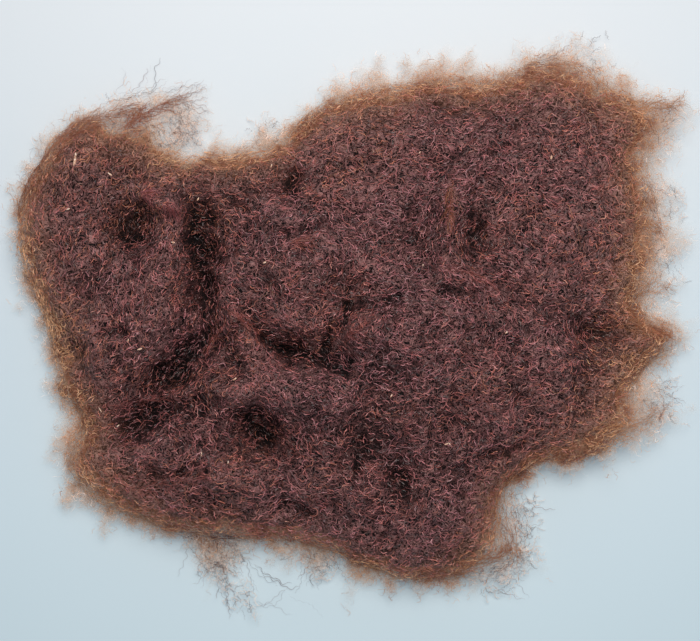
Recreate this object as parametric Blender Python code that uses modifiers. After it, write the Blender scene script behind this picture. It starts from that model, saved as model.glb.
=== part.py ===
"""A teased tuft of brown wool that lies loose on a flat surface.

It is one matted piece of fibre: a lumpy slab, thick in the middle and thin at its
ragged rim, with pointed locks all round. +Z is up, the tuft rests on the plane Z = 0,
and the origin is below the middle of its outline. Run it with
blender --background --python part.py
"""

import math
import random
from collections import namedtuple

import bmesh
import bpy
import numpy as np
from mathutils import Matrix, Vector, noise

MM = 0.001

# Driving sizes of the fleece body
MAT_HEIGHT = 24.0 * MM
RIM_THICKNESS = 3.4 * MM
UNDERSIDE_RISE_WIDTH = 17.0 * MM
BLANK_THICKNESS = 12.0 * MM
FACET = 2.7 * MM
KEPT_FACETS = 0.3
LEAST_THICKNESS = 2.6 * MM
RIM_STEPS = 8
ROUNDING_PASSES = 2

# Unevenness of the fleece: how large, and how far from one bump to the next
RAGGED_DEPTH = 2.6 * MM
RAGGED_PITCH = 9.0 * MM
RAGGED_WIDTH = 9.0 * MM
LUMPY_RISE = 2.6 * MM
LUMPY_PITCH = 15.0 * MM
RELIEF = 1.2

# Driving sizes of the locks. Each is an oval taper, less high than it is wide.
LOCK_SPACING = 5.4 * MM
LOCK_SHORTEST = 2.5 * MM
LOCK_ROOT_RADII = (1.0 * MM, 3.0 * MM)
LOCK_TIP_RADIUS = 0.35 * MM
LOCK_FLATNESS = 0.6
LOCK_ROOT_DEPTH = 4.0 * MM
LOCK_SWAY = 48.0
LOCK_BEND = 60.0
LOCK_POINTS = 4
FLOOR_GAP = 0.4 * MM
SEED = 11

# The rim, clockwise seen from above. Each row gives a point in mm, how high the
# underside stands off the surface there, how far in the edge takes to fill out, and
# how long the locks there grow.
RimPoint = namedtuple("RimPoint", "x y lift fill reach")
RIM = [
    RimPoint(-97, 47, 2.5, 7, 5),
    RimPoint(-91, 58, 3.0, 8, 5),
    RimPoint(-81, 66, 4.0, 9, 5),
    RimPoint(-70, 69, 6.0, 12, 6),
    RimPoint(-61, 66, 7.0, 15, 9),
    RimPoint(-57, 60, 5.0, 13, 8),
    RimPoint(-47, 55, 3.0, 7, 8),
    RimPoint(-34, 56, 2.5, 6, 6),
    RimPoint(-22, 58, 2.5, 6, 5),
    RimPoint(-15, 65, 3.0, 7, 5),
    RimPoint(-5, 71, 3.0, 7, 5),
    RimPoint(8, 75, 3.0, 7, 5),
    RimPoint(23, 77, 3.0, 7, 6),
    RimPoint(38, 77, 3.0, 8, 6),
    RimPoint(48, 80, 3.5, 9, 7),
    RimPoint(60, 83, 4.0, 10, 7),
    RimPoint(72, 79, 4.5, 11, 7),
    RimPoint(81, 72, 5.0, 12, 8),
    RimPoint(95, 69, 6.0, 13, 9),
    RimPoint(96, 62, 6.5, 14, 9),
    RimPoint(90, 55, 6.0, 14, 9),
    RimPoint(90, 44, 5.0, 14, 10),
    RimPoint(93, 31, 5.0, 15, 11),
    RimPoint(91, 17, 5.0, 14, 10),
    RimPoint(86, 8, 4.5, 11, 8),
    RimPoint(96, 3, 4.0, 10, 8),
    RimPoint(97, -5, 4.0, 10, 9),
    RimPoint(88, -12, 5.0, 10, 8),
    RimPoint(85, -19, 6.0, 12, 8),
    RimPoint(91, -26, 7.0, 13, 10),
    RimPoint(80, -34, 7.5, 11, 7),
    RimPoint(67, -38, 7.0, 8, 6),
    RimPoint(54, -40, 6.0, 7, 7),
    RimPoint(46, -47, 4.0, 7, 9),
    RimPoint(45, -57, 3.5, 8, 10),
    RimPoint(48, -67, 4.0, 12, 10),
    RimPoint(41, -72, 4.0, 12, 8),
    RimPoint(26, -75, 3.0, 9, 7),
    RimPoint(9, -73, 2.5, 7, 7),
    RimPoint(-6, -67, 2.5, 7, 8),
    RimPoint(-20, -63, 2.5, 6, 8),
    RimPoint(-34, -62, 2.5, 6, 10),
    RimPoint(-48, -62, 2.5, 7, 10),
    RimPoint(-63, -58, 2.5, 7, 8),
    RimPoint(-80, -50, 3.0, 9, 7),
    RimPoint(-87, -41, 3.5, 10, 7),
    RimPoint(-86, -33, 3.5, 9, 6),
    RimPoint(-82, -26, 3.0, 7, 6),
    RimPoint(-89, -18, 2.5, 7, 5),
    RimPoint(-90, -8, 2.5, 7, 5),
    RimPoint(-95, 7, 2.5, 7, 5),
    RimPoint(-100, 22, 2.5, 6, 5),
    RimPoint(-101, 35, 2.5, 6, 5),
]

# Lumps and hollows of the top, in mm and degrees: a soft mound of that rise, long
# along turn. A negative rise is a hollow or a crease.
Mound = namedtuple("Mound", "x y length width turn rise")
LUMPS = [
    Mound(-58, 17, 15, 7, 80, 6.0),
    Mound(-53, 35, 8, 3, -45, 3.5),
    Mound(-82, 38, 10, 14, 0, 1.5),
    Mound(-76, -2, 6, 14, 0, 1.5),
    Mound(-24, 35, 8, 5, -30, 3.0),
    Mound(-15, 20, 10, 8, 0, 5.0),
    Mound(-31, -1, 10, 4, -45, 4.0),
    Mound(3, 2, 8, 5, 40, 4.0),
    Mound(28, 29, 14, 4, 88, 4.5),
    Mound(21, -3, 19, 15, 0, 5.5),
    Mound(41, 8, 13, 5, -45, 3.0),
    Mound(14, 55, 30, 14, 5, 2.0),
    Mound(62, 55, 16, 14, 0, 1.5),
    Mound(59, -5, 17, 5, 88, 4.0),
    Mound(-34, -19, 7, 4, 45, 4.0),
    Mound(-19, -16, 10, 7, 0, 5.0),
    Mound(-3, -20, 9, 6, 0, 3.5),
    Mound(-36, -41, 14, 5, 5, 4.0),
    Mound(26, -56, 13, 9, 0, 3.0),
]
HOLLOWS = [
    Mound(-66, 31, 8, 7, 0, -9.0),
    Mound(-45, 27, 14, 4.5, 90, -9.0),
    Mound(-45, 12, 12, 5, 90, -9.0),
    Mound(-51, -9, 15, 6.5, 47, -11.0),
    Mound(-64, -26, 12, 6, 35, -9.0),
    Mound(-16, -5, 14, 4.5, -8, -9.5),
    Mound(-28, 2, 10, 3.5, -50, -5.0),
    Mound(2, 10, 10, 5, -15, -4.0),
    Mound(-28, -32, 10, 7, -25, -9.0),
    Mound(14, -43, 5, 8, 0, -5.0),
    Mound(2, -35, 8, 5, 0, -3.0),
    Mound(29, 65, 8, 4, -10, -4.0),
    Mound(-19, 45, 5, 5, 0, -4.5),
    Mound(35, 29, 9, 4, 90, -4.5),
    Mound(20, 31, 6, 6, 0, -2.5),
    Mound(71, -1, 12, 6, -5, -7.0),
    Mound(69, 21, 8, 8, 0, -3.0),
    Mound(-83, -10, 12, 3.5, 85, -5.0),
    Mound(54, -34, 14, 4, 8, -4.0),
    Mound(8, -13, 7, 7, 0, -3.0),
    Mound(-16, -53, 7, 5, 0, -3.0),
    Mound(-43, -50, 6, 5, 0, -3.0),
    Mound(-55, -43, 7, 4, 0, -3.0),
]

# The locks that stand out by themselves, in mm and degrees: where each leaves the
# body, the way it points from above, how far it turns on its way, and its root.
Wisp = namedtuple("Wisp", "x y length turn bend root")
WISPS = [
    Wisp(-60, 63, 18, 28, -30, 2.6),
    Wisp(-66, 68, 24, 24, -30, 1.5),
    Wisp(-57, 60, 14, 20, -25, 2.0),
    Wisp(-42, 53, 10, 85, 20, 1.8),
    Wisp(-27, 56, 8, 95, -25, 1.6),
    Wisp(60, 80, 7, 80, 10, 1.8),
    Wisp(91, 66, 13, 15, -35, 2.6),
    Wisp(90, 31, 10, -20, 20, 2.0),
    Wisp(92, 0, 11, 12, 15, 2.2),
    Wisp(88, -25, 13, 0, 15, 2.4),
    Wisp(44, -46, 12, 5, 20, 2.0),
    Wisp(44, -66, 15, -25, 10, 2.5),
    Wisp(-46, -58, 33, -62, 10, 1.5),
    Wisp(-42, -58, 22, -88, -20, 1.2),
    Wisp(-1, -67, 17, -98, 20, 1.3),
    Wisp(-83, -46, 9, -150, 20, 1.8),
]


def clear_scene():
    """Removes whatever the file holds, so that only the tuft is left."""
    for old in list(bpy.data.objects):
        bpy.data.objects.remove(old, do_unlink=True)


def link(obj, collection):
    """Puts a new object in its collection."""
    collection.objects.link(obj)
    return obj


def wool_material():
    """Dark brown wool: rough, not metallic."""
    material = bpy.data.materials.new("brown wool")
    material.use_nodes = True
    shader = material.node_tree.nodes["Principled BSDF"]
    shader.inputs["Base Color"].default_value = (0.105, 0.048, 0.042, 1.0)
    shader.inputs["Roughness"].default_value = 0.85
    shader.inputs["Metallic"].default_value = 0.0
    return material


def mesh_of(obj, collection):
    """A new mesh object with the same shape as obj has now. It takes obj's place."""
    bpy.context.view_layer.update()
    graph = bpy.context.evaluated_depsgraph_get()
    mesh = bpy.data.meshes.new_from_object(obj.evaluated_get(graph))
    made = link(bpy.data.objects.new(obj.name + " mesh", mesh), collection)
    made.matrix_world = obj.matrix_world
    bpy.data.objects.remove(obj, do_unlink=True)
    return made


def weld(mesh, distance):
    """Joins points that lie on each other, such as a curve's caps and sides."""
    shape = bmesh.new()
    shape.from_mesh(mesh)
    bmesh.ops.remove_doubles(shape, verts=shape.verts, dist=distance)
    bmesh.ops.recalc_face_normals(shape, faces=shape.faces)
    shape.to_mesh(mesh)
    shape.free()


def rim_curve(collection):
    """The outline as a smooth closed curve, filled and as thick as the blank."""
    curve = bpy.data.curves.new("rim", "CURVE")
    curve.dimensions = "2D"
    curve.fill_mode = "BOTH"
    curve.extrude = BLANK_THICKNESS / 2
    curve.resolution_u = RIM_STEPS
    spline = curve.splines.new("BEZIER")
    spline.bezier_points.add(len(RIM) - 1)
    spline.use_cyclic_u = True
    for point, row in zip(spline.bezier_points, RIM):
        point.co = (row.x * MM, row.y * MM, 0.0)
        point.handle_left_type = point.handle_right_type = "AUTO"
    return link(bpy.data.objects.new("rim", curve), collection)


def blank(collection):
    """A flat slab with the tuft's outline, in even square facets."""
    slab = mesh_of(rim_curve(collection), collection)
    weld(slab.data, 0.01 * MM)
    remesh = slab.modifiers.new("even facets", "REMESH")
    remesh.mode = "VOXEL"
    remesh.voxel_size = FACET
    return mesh_of(slab, collection)


class Rim:
    """The rim as short straight steps, with its lift, fill and reach at each step."""

    def __init__(self):
        corners = np.array(RIM, float)
        count = len(corners)
        steps = np.arange(count * RIM_STEPS) / RIM_STEPS
        self.rows = np.array([self.between(corners, step) for step in steps])
        self.start = self.rows[:, :2] * MM
        self.end = np.roll(self.start, -1, axis=0)

    @staticmethod
    def between(corners, step):
        """The row at a fractional index, on a smooth closed curve through the rows."""
        first = int(step)
        t = step - first
        a, b, c, d = (corners[(first + k) % len(corners)] for k in (-1, 0, 1, 2))
        return 0.5 * (
            2 * b + (c - a) * t + (2 * a - 5 * b + 4 * c - d) * t**2 + (3 * b - a - 3 * c + d) * t**3
        )

    def reading(self, place):
        """How far place is from the rim, and the rim's lift and fill beside it."""
        along = self.end - self.start
        share = ((place - self.start) * along).sum(1) / (along * along).sum(1)
        nearest = self.start + along * np.clip(share, 0, 1)[:, None]
        gaps = np.hypot(*(nearest - place).T)
        k = int(gaps.argmin())
        return gaps[k], self.rows[k, 2] * MM, self.rows[k, 3] * MM

    def walk(self, spacing):
        """Places at even steps round the rim, each with its outward turn, lift and reach."""
        along = self.end - self.start
        lengths = np.hypot(*along.T)
        done = np.cumsum(lengths) - lengths
        whole = lengths.sum()
        count = round(whole / spacing)
        for n in range(count):
            k = int(np.searchsorted(done, n * whole / count, side="right")) - 1
            share = (n * whole / count - done[k]) / lengths[k]
            place = self.start[k] + along[k] * share
            outward = math.atan2(along[k][0], -along[k][1])
            yield place, outward, self.rows[k, 2] * MM, self.rows[k, 4] * MM


def smooth_share(value):
    """0 to 1 with soft ends, for a value that runs from 0 to 1."""
    value = min(max(value, 0.0), 1.0)
    return value * value * (3 - 2 * value)


def mound_height(mound, x, y):
    """How much one lump or hollow adds at a place, in metres."""
    turn = math.radians(mound.turn)
    dx = x / MM - mound.x
    dy = y / MM - mound.y
    along = (dx * math.cos(turn) + dy * math.sin(turn)) / mound.length
    across = (dy * math.cos(turn) - dx * math.sin(turn)) / mound.width
    return mound.rise * MM * math.exp(-(along**2) - across**2)


def heights(rim, x, y):
    """The underside's and the top's height at a place."""
    depth, lift, fill = rim.reading(np.array([x, y]))
    under = lift * (1 - smooth_share(depth / UNDERSIDE_RISE_WIDTH))
    filled = 1 - math.exp(-depth / fill)
    top = under + RIM_THICKNESS + (MAT_HEIGHT - RIM_THICKNESS) * filled
    relief = RELIEF * sum(mound_height(mound, x, y) for mound in LUMPS + HOLLOWS)
    relief += LUMPY_RISE * noise.fractal(Vector((x, y, 0.0)) / LUMPY_PITCH, 0.8, 2.0, 2)
    return under, max(top + relief * filled, under + LEAST_THICKNESS)


def shape_blank(rim, mesh):
    """Gives the blank the tuft's lumps, hollows, ragged thin rim and flat underside."""
    shape = bmesh.new()
    shape.from_mesh(mesh)
    snap = 0.08
    for point in shape.verts:
        share = point.co.z / BLANK_THICKNESS + 0.5
        share = 0.0 if share < snap else 1.0 if share > 1 - snap else share
        under, top = heights(rim, point.co.x, point.co.y)
        depth = rim.reading(np.array(point.co[:2]))[0]
        sway = noise.noise_vector(point.co / RAGGED_PITCH)
        sway *= RAGGED_DEPTH * (1 - smooth_share(depth / RAGGED_WIDTH))
        point.co = (point.co.x + sway.x, point.co.y + sway.y, under + (top - under) * share)
    raised = [point for point in shape.verts if point.co.z > 0.001 * MM]
    for _ in range(ROUNDING_PASSES):
        bmesh.ops.smooth_vert(
            shape, verts=raised, factor=0.5, use_axis_x=True, use_axis_y=True, use_axis_z=True
        )
    shape.to_mesh(mesh)
    shape.free()


def flatten_underside(mesh):
    """Makes the underside that rests on the floor one flat face."""
    shape = bmesh.new()
    shape.from_mesh(mesh)
    for point in shape.verts:
        if point.co.z < 0.02 * MM:
            point.co.z = 0.0
    flat = [face for face in shape.faces if max(v.co.z for v in face.verts) == 0.0]
    bmesh.ops.dissolve_faces(shape, faces=flat)
    shape.to_mesh(mesh)
    shape.free()


def fleece_body(rim, collection):
    """The shaped slab, with fewer facets where it is plain."""
    body = blank(collection)
    shape_blank(rim, body.data)
    fewer = body.modifiers.new("fewer facets", "DECIMATE")
    fewer.ratio = KEPT_FACETS
    body = mesh_of(body, collection)
    flatten_underside(body.data)
    return body


def lock(root, direction, length, bend, radius, tip_height, collection):
    """One pointed lock: a four-sided oval taper that starts inside the body."""
    curve = bpy.data.curves.new("lock", "CURVE")
    curve.dimensions = "3D"
    curve.bevel_depth = 1.0
    curve.bevel_resolution = 0
    curve.use_fill_caps = True
    spline = curve.splines.new("POLY")
    spline.points.add(LOCK_POINTS - 1)
    step = (length + LOCK_ROOT_DEPTH) / (LOCK_POINTS - 1)
    x = root[0] - LOCK_ROOT_DEPTH * math.cos(direction)
    y = root[1] - LOCK_ROOT_DEPTH * math.sin(direction)
    for k, point in enumerate(spline.points):
        share = k / (LOCK_POINTS - 1)
        thick = radius + (LOCK_TIP_RADIUS - radius) * share**1.2
        height = root[2] + (tip_height - root[2]) * share**1.5
        height = max(height, thick * LOCK_FLATNESS + FLOOR_GAP)
        point.co = (x, y, height / LOCK_FLATNESS, 1.0)
        point.radius = thick
        heading = direction + math.radians(bend) * share
        x += step * math.cos(heading)
        y += step * math.sin(heading)
    made = mesh_of(link(bpy.data.objects.new("lock", curve), collection), collection)
    made.data.transform(Matrix.Scale(LOCK_FLATNESS, 4, (0.0, 0.0, 1.0)))
    weld(made.data, 0.001 * MM)
    return made


def rim_locks(rim, collection):
    """Short locks all round the rim, uneven in length and lean."""
    dice = random.Random(SEED)
    for place, outward, lift, reach in rim.walk(LOCK_SPACING):
        lean = outward + math.radians(dice.uniform(-LOCK_SWAY, LOCK_SWAY))
        place = place + LOCK_SPACING * np.array([dice.uniform(-0.45, 0.45), dice.uniform(-0.45, 0.45)])
        length = LOCK_SHORTEST + (reach - LOCK_SHORTEST) * dice.random() ** 1.3
        bend = dice.uniform(-LOCK_BEND, LOCK_BEND)
        radius = dice.uniform(*LOCK_ROOT_RADII)
        height = lift + RIM_THICKNESS * dice.uniform(0.4, 0.7)
        tip_height = lift + dice.uniform(-1.5, 2.5) * MM
        lock((*place, height), lean, length, bend, radius, tip_height, collection)


def long_wisps(rim, collection):
    """The locks of the table WISPS."""
    for row in WISPS:
        lift = rim.reading(np.array([row.x, row.y]) * MM)[1]
        root = (row.x * MM, row.y * MM, lift + RIM_THICKNESS * 0.5)
        turn = math.radians(row.turn)
        lock(root, turn, row.length * MM, row.bend, row.root * MM, lift, collection)


def fuse(body, locks, collection):
    """Joins every lock to the body, so that the tuft is one solid."""
    union = body.modifiers.new("locks", "BOOLEAN")
    union.operation = "UNION"
    union.operand_type = "COLLECTION"
    union.collection = locks
    union.solver = "EXACT"
    return mesh_of(body, collection)


def centre(mesh):
    """Puts the middle of the outline over the origin."""
    places = np.array([point.co[:2] for point in mesh.vertices])
    middle = (places.min(axis=0) + places.max(axis=0)) / 2
    mesh.transform(Matrix.Translation((-middle[0], -middle[1], 0.0)))


def main():
    clear_scene()
    tuft_parts = bpy.data.collections.new("wool tuft")
    locks = bpy.data.collections.new("locks")
    for collection in (tuft_parts, locks):
        bpy.context.scene.collection.children.link(collection)
    rim = Rim()
    body = fleece_body(rim, tuft_parts)
    rim_locks(rim, locks)
    long_wisps(rim, locks)
    tuft = fuse(body, locks, tuft_parts)
    for fused in list(locks.objects):
        bpy.data.objects.remove(fused, do_unlink=True)
    bpy.data.collections.remove(locks)
    centre(tuft.data)
    tuft.name = "wool_tuft"
    tuft.data.materials.append(wool_material())


main()
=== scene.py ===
"""The looks of a loose tuft of teased brown wool, seen from straight above.

A matted core fills the solid's shape, short crimped fibres cover it, and webs of finer
fibres make the thin, hazy rim. Crinkled hairs, wisps, stray hairs and slivers of straw
lie over them. Places and sizes in the tables are in mm, and all other lengths are in
metres. Every random number has a fixed seed.
"""

import math
from collections import namedtuple

import bpy
import numpy as np
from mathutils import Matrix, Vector, noise
from mathutils.bvhtree import BVHTree
from mathutils.kdtree import KDTree


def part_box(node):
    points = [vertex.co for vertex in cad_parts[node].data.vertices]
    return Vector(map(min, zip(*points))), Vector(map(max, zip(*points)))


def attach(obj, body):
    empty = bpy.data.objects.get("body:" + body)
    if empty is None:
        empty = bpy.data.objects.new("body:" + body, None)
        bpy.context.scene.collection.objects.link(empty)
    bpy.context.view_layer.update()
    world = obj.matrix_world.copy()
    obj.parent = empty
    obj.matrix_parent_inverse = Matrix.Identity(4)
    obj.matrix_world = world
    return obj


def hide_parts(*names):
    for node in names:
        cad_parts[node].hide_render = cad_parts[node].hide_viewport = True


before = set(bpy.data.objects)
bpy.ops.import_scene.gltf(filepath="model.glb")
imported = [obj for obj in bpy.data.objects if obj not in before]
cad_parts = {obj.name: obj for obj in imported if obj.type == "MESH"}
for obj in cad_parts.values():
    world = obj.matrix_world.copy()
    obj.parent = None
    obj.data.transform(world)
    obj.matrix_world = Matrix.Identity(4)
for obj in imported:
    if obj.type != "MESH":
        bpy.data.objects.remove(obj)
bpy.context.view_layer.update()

MM = 0.001
FULL_TURN = 2 * math.pi

# The photograph covers this much at the fibres' height, for each of its pixels.
PIXEL = 0.3 * MM
PHOTO_WIDTH = 700
PHOTO_MIDDLE = (-0.43 * MM, 2.59 * MM)
CAMERA_HEIGHT = 420 * MM
FIBRE_HEIGHT = 6 * MM
SENSOR_MM = 36.0

# The wool's heights are kept on an even grid with this step, which goes this far past the
# solid. A lock at the rim is at most twice LOCK_HALF_WIDTH of its cells wide. The wool is
# at least this thick and rises at most this far over the solid.
FIELD_STEP = 0.75 * MM
FIELD_MARGIN = 15 * MM
LOCK_HALF_WIDTH = 3
LEAST_THICK = 1.5 * MM
MOST_RISE = 1 * MM

# The dense wool stops this far inside the solid's rim, below its top and above its
# underside. It tapers over this much to this thickness at its own rim, and its mesh has
# this step.
CORE_INSET = 2.2 * MM
CORE_DROP = 0.8 * MM
CORE_LIFT = 0.5 * MM
CORE_TAPER = 7 * MM
CORE_EDGE = 0.5 * MM
CORE_STEP = 1.25 * MM

# The webs of fine fibre go this far past the haze and into the dense wool.
WEB_PAST = 1.5 * MM
WEB_INTO = 5 * MM
WEB_STEP = 1.2 * MM

# The solid's own hollows are deepened by this share, and folds and clumps fade in from
# the rim over this much.
RELIEF_GAIN = 0.45
RELIEF_FADE = 10 * MM

# Smooth chance rises and falls: how far apart they are, how high, and the seed.
Uneven = namedtuple("Uneven", "pitch rise seed")
CLUMPS = [Uneven(9, 0.5, 4), Uneven(3.4, 0.5, 14)]
FOLDS_EAST = [Uneven(9, 1.3, 11)]
FOLDS_NORTH = [Uneven(9, 1.3, 12)]
RIM_STRAYS = [Uneven(6, 0.9, 13)]
HAZE_STRAYS = [Uneven(5, 1.1, 23), Uneven(2.2, 0.7, 24)]
WEB_WAVES = [Uneven(9, 0.5, 21)]

# The haze reaches this far past the solid's rim, and the rim's brown and gold, painted
# light for the light through the thin wool, this far into the dense wool, where the
# tables don't give more.
HAZE_REACH = 1 * MM
PAINTED_GLOW_REACH = 1.8 * MM

# Painted shade: the wool is darker by this share for each mm that it lies below its
# surroundings. The passes of soft() even those out over about 4, 1.5 and 0.75 mm. Its
# shade keeps between the last two.
Hollow = namedtuple("Hollow", "passes darker")
HOLLOWS = [Hollow(120, 0.08), Hollow(16, 0.20), Hollow(4, 0.35)]
DARKEST = 0.16
LIGHTEST = 1.35

# Ridges of gathered wool and creases between them: a stretch from one place to another,
# half its width, and how far it rises, or sinks where that is negative.
Fold = namedtuple("Fold", "x y end_x end_y width rise")
FOLDS = [
    # The long crease beside the left lobe
    Fold(-46, 37, -41, 34, 2.5, -2.2),
    Fold(-48, 34, -48, 27, 2.0, -3.4),
    Fold(-48, 27, -46, 19, 2.3, -3.4),
    Fold(-46, 21, -42, 11, 2.6, -2.6),
    Fold(-44, 13, -41, 1, 2.2, -2.4),
    Fold(-43, 33, -38, 22, 5.0, -1.5),
    Fold(-41, 22, -37, 10, 5.0, -1.2),
    Fold(-39, 39, -32, 37, 2.0, -1.5),
    Fold(-45, 30, -37, 26, 1.6, 1.6),
    Fold(-46, 17, -38, 19, 1.8, 1.4),
    Fold(-50, 33, -45, 36, 1.5, 1.5),
    Fold(-42, -3, -54, -13, 4.5, -4.5),
    Fold(-54, -13, -60, -17, 4.0, -3.0),
    Fold(-47, -23, -67, -30, 4.0, -4.0),
    Fold(-70, -22, -48, -18, 2.0, 2.0),
    # The left lobe and its pocket
    Fold(-66, 32, -63, 22, 6.0, -2.6),
    Fold(-64, 25, -62, 18, 5.0, -2.6),
    Fold(-60, 34, -54, 31, 4.0, -1.8),
    Fold(-68, 12, -60, 9, 3.0, -1.2),
    Fold(-63, 40, -53, 37, 1.6, 2.5),
    Fold(-53, 37, -50.5, 27, 1.6, 2.0),
    Fold(-53, 14, -58, 0, 4.0, 2.0),
    Fold(-75, 0, -68, -1, 1.2, -2.0),
    Fold(-82, -6, -80, -20, 2.5, -3.0),
    # The peak and the creases in the middle
    Fold(-43, -6, -35, 5, 1.6, 2.6),
    Fold(-33, 4, -25, -9, 1.6, 2.6),
    Fold(-36, -3, -35, -9, 2.5, -3.0),
    Fold(-38, -18, -31, -20, 4.0, 2.5),
    Fold(-27, -2, -20, -7, 2.2, -4.0),
    Fold(-20, -7, -2, -12, 2.6, -4.5),
    Fold(-8, -5, -2, 5, 2.4, -3.5),
    Fold(-2, 5, 13, 9, 2.0, -2.8),
    Fold(-1, -2, 9, 5, 2.2, 2.0),
    Fold(-17, 46, -17, 41, 2.0, -2.5),
    Fold(-24, 34, -18, 33, 3.5, 1.8),
    Fold(-18, 25, -9, 27, 1.6, 1.5),
    Fold(-18, 30, -8, 31, 2.0, -1.2),
    # The lower middle
    Fold(-32, -26, -25, -31, 4.0, -5.0),
    Fold(-40, -43, -28, -47, 4.0, 2.5),
    Fold(-60, -42, -52, -44, 1.8, -2.5),
    Fold(-52, -44, -44, -42, 1.8, -2.5),
    Fold(2, -33, 3, -44, 2.0, -2.5),
    Fold(13, -44, 16, -47, 2.0, -3.0),
    Fold(26, -43, 33, -42, 2.0, -1.8),
    Fold(-19, -51, -13, -56, 2.5, -2.5),
    Fold(42, -37, 51, -35, 2.2, -2.5),
    # The right half
    Fold(28, 41, 28, 24, 1.4, 2.2),
    Fold(31, 37, 31, 24, 2.0, -1.6),
    Fold(30, 17, 39, 14, 1.4, 1.8),
    Fold(39, 14, 45, 9, 1.4, 1.6),
    Fold(27, 12, 38, 8, 2.2, -2.0),
    Fold(63, 5, 78, -1, 5.0, -3.0),
    Fold(72, 14, 81, 21, 2.5, -1.6),
    Fold(23, 69, 31, 66, 1.8, -2.2),
    Fold(40, 62, 50, 61, 1.6, -1.6),
    Fold(44, 55, 60, 54, 1.6, -1.2),
]

# The way the wool is combed: a place, the turn there in degrees and its reach.
Combing = namedtuple("Combing", "x y turn reach")
COMBED = [
    Combing(-90, 25, 82, 20),
    Combing(-68, 45, 60, 16),
    Combing(-60, 15, 70, 16),
    Combing(-65, -15, 50, 18),
    Combing(-30, 35, 0, 20),
    Combing(0, 45, 10, 25),
    Combing(40, 50, 5, 28),
    Combing(75, 45, -5, 25),
    Combing(75, 15, 10, 22),
    Combing(30, 20, 85, 8),
    Combing(42, 8, -38, 14),
    Combing(20, -5, 25, 16),
    Combing(75, -20, 15, 22),
    Combing(40, -25, 20, 22),
    Combing(-10, -20, -30, 18),
    Combing(-36, -8, -50, 10),
    Combing(-40, -45, 5, 22),
    Combing(0, -50, 0, 22),
    Combing(30, -60, 25, 20),
    Combing(-80, -45, -20, 18),
]

# Where the rim is thin enough to see through: a place, how wide, how far the dense wool's
# own rim draws back there, how far the haze reaches past the solid's rim, the share of the
# haze that is left, and how far in the dense wool takes the rim's brown and gold, painted
# light for the light through the thin wool, where that is further.
Thin = namedtuple("Thin", "x y reach loss gain left brown", defaults=[0])
THIN = [
    Thin(-67, 61, 8, 9, 1, 0.45),
    Thin(-55, 60, 7, 12, 1, 0.2),
    Thin(-49, 56, 6, 8, 1, 0.15),
    Thin(-50, 68, 6, 8, 1, 0.5),
    Thin(49, -60, 8, 9, 2, 0.45),
    Thin(43, -71, 9, 9, 3, 0.5),
    Thin(52, -76, 7, 9, 3, 0.5),
    Thin(-77, -50, 11, 4.5, 4.5, 1, 7),
    Thin(-58, -56, 9, 1.5, 3.5, 0.95),
    Thin(-38, -63, 9, 1.5, 5, 0.5),
    Thin(-15, -68, 10, 1, 4, 0.6),
    Thin(5, 78, 18, 4, 3, 1),
    Thin(40, 80, 18, 4, 3, 1),
    Thin(70, 78, 16, 7, 3, 1),
    Thin(96, 66, 12, 11, 3, 0.9),
    Thin(92, 48, 11, 9, 6, 0.9),
    Thin(95, 30, 11, 9, 6, 0.8),
    Thin(92, 12, 10, 8, 3, 0.9),
    Thin(98, -4, 8, 6, 2, 0.9),
    Thin(90, -27, 12, 10, 4, 0.8),
    Thin(-29, 57, 10, 4, 3, 0.8),
    Thin(-85, -36, 11, 4, 3, 1, 7),
    Thin(-102, 22, 11, 1.5, 1.0, 0.9, 5),
    Thin(-99, 3, 11, 1.5, 1.0, 0.9, 5),
    Thin(-93, -16, 10, 1.5, 1.0, 0.9, 5),
    Thin(-97, 38, 8, 2, 3, 0.9, 4),
    Thin(-91, 53, 9, 4, 3.5, 0.9),
]

# Patches of painted shade, where light is negative, and painted light, where it is positive,
# and patches that are browner or more purple than the wool around.
Tone = namedtuple("Tone", "x y reach light hue")
TONES = [
    Tone(-41, 30, 14, -0.20, 0.05),
    Tone(-60, -18, 14, -0.40, 0.05),
    Tone(-41, -17, 12, -0.25, 0.05),
    Tone(-65, 24, 6, -0.25, 0.0),
    Tone(-80, 17, 7, -0.18, -0.04),
    Tone(-54, 20, 7, 0.22, 0.10),
    Tone(6, -33, 22, -0.25, 0.0),
    Tone(-12, -21, 12, -0.15, 0.0),
    Tone(75, -5, 12, -0.15, 0.12),
    Tone(-88, 5, 16, 0.20, 0.20),
    Tone(-100, 22, 10, 0.60, 0.18),
    Tone(-97, 3, 10, 0.60, 0.18),
    Tone(-90, -17, 9, 0.50, 0.14),
    Tone(-70, 45, 22, 0.10, 0.15),
    Tone(-36, 44, 18, -0.05, 0.12),
    Tone(70, 42, 20, 0.30, 0.10),
    Tone(84, 28, 14, 0.30, 0.08),
    Tone(76, 12, 20, 0.22, 0.10),
    Tone(68, -22, 18, 0.10, 0.12),
    Tone(-60, -45, 16, -0.06, 0.06),
    Tone(-81, -43, 11, 0.12, 0.10),
    Tone(15, 12, 24, 0.05, -0.08),
    Tone(0, 56, 22, 0.20, 0.08),
    Tone(-30, -20, 8, 0.10, 0.10),
]

# Domes and hollows that the fibres run round: a middle, and half its width and length.
Swirl = namedtuple("Swirl", "x y width length")
SWIRLS = [
    Swirl(-12, 21, 11, 9.5),
    Swirl(22, 1, 22, 8.5),
    Swirl(-33, -21, 10, 7.5),
    Swirl(78, -2, 18, 8.5),
    Swirl(-60, -33, 18, 8),
    Swirl(15, -30, 24, 10),
    Swirl(50, 25, 20, 12),
]

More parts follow.
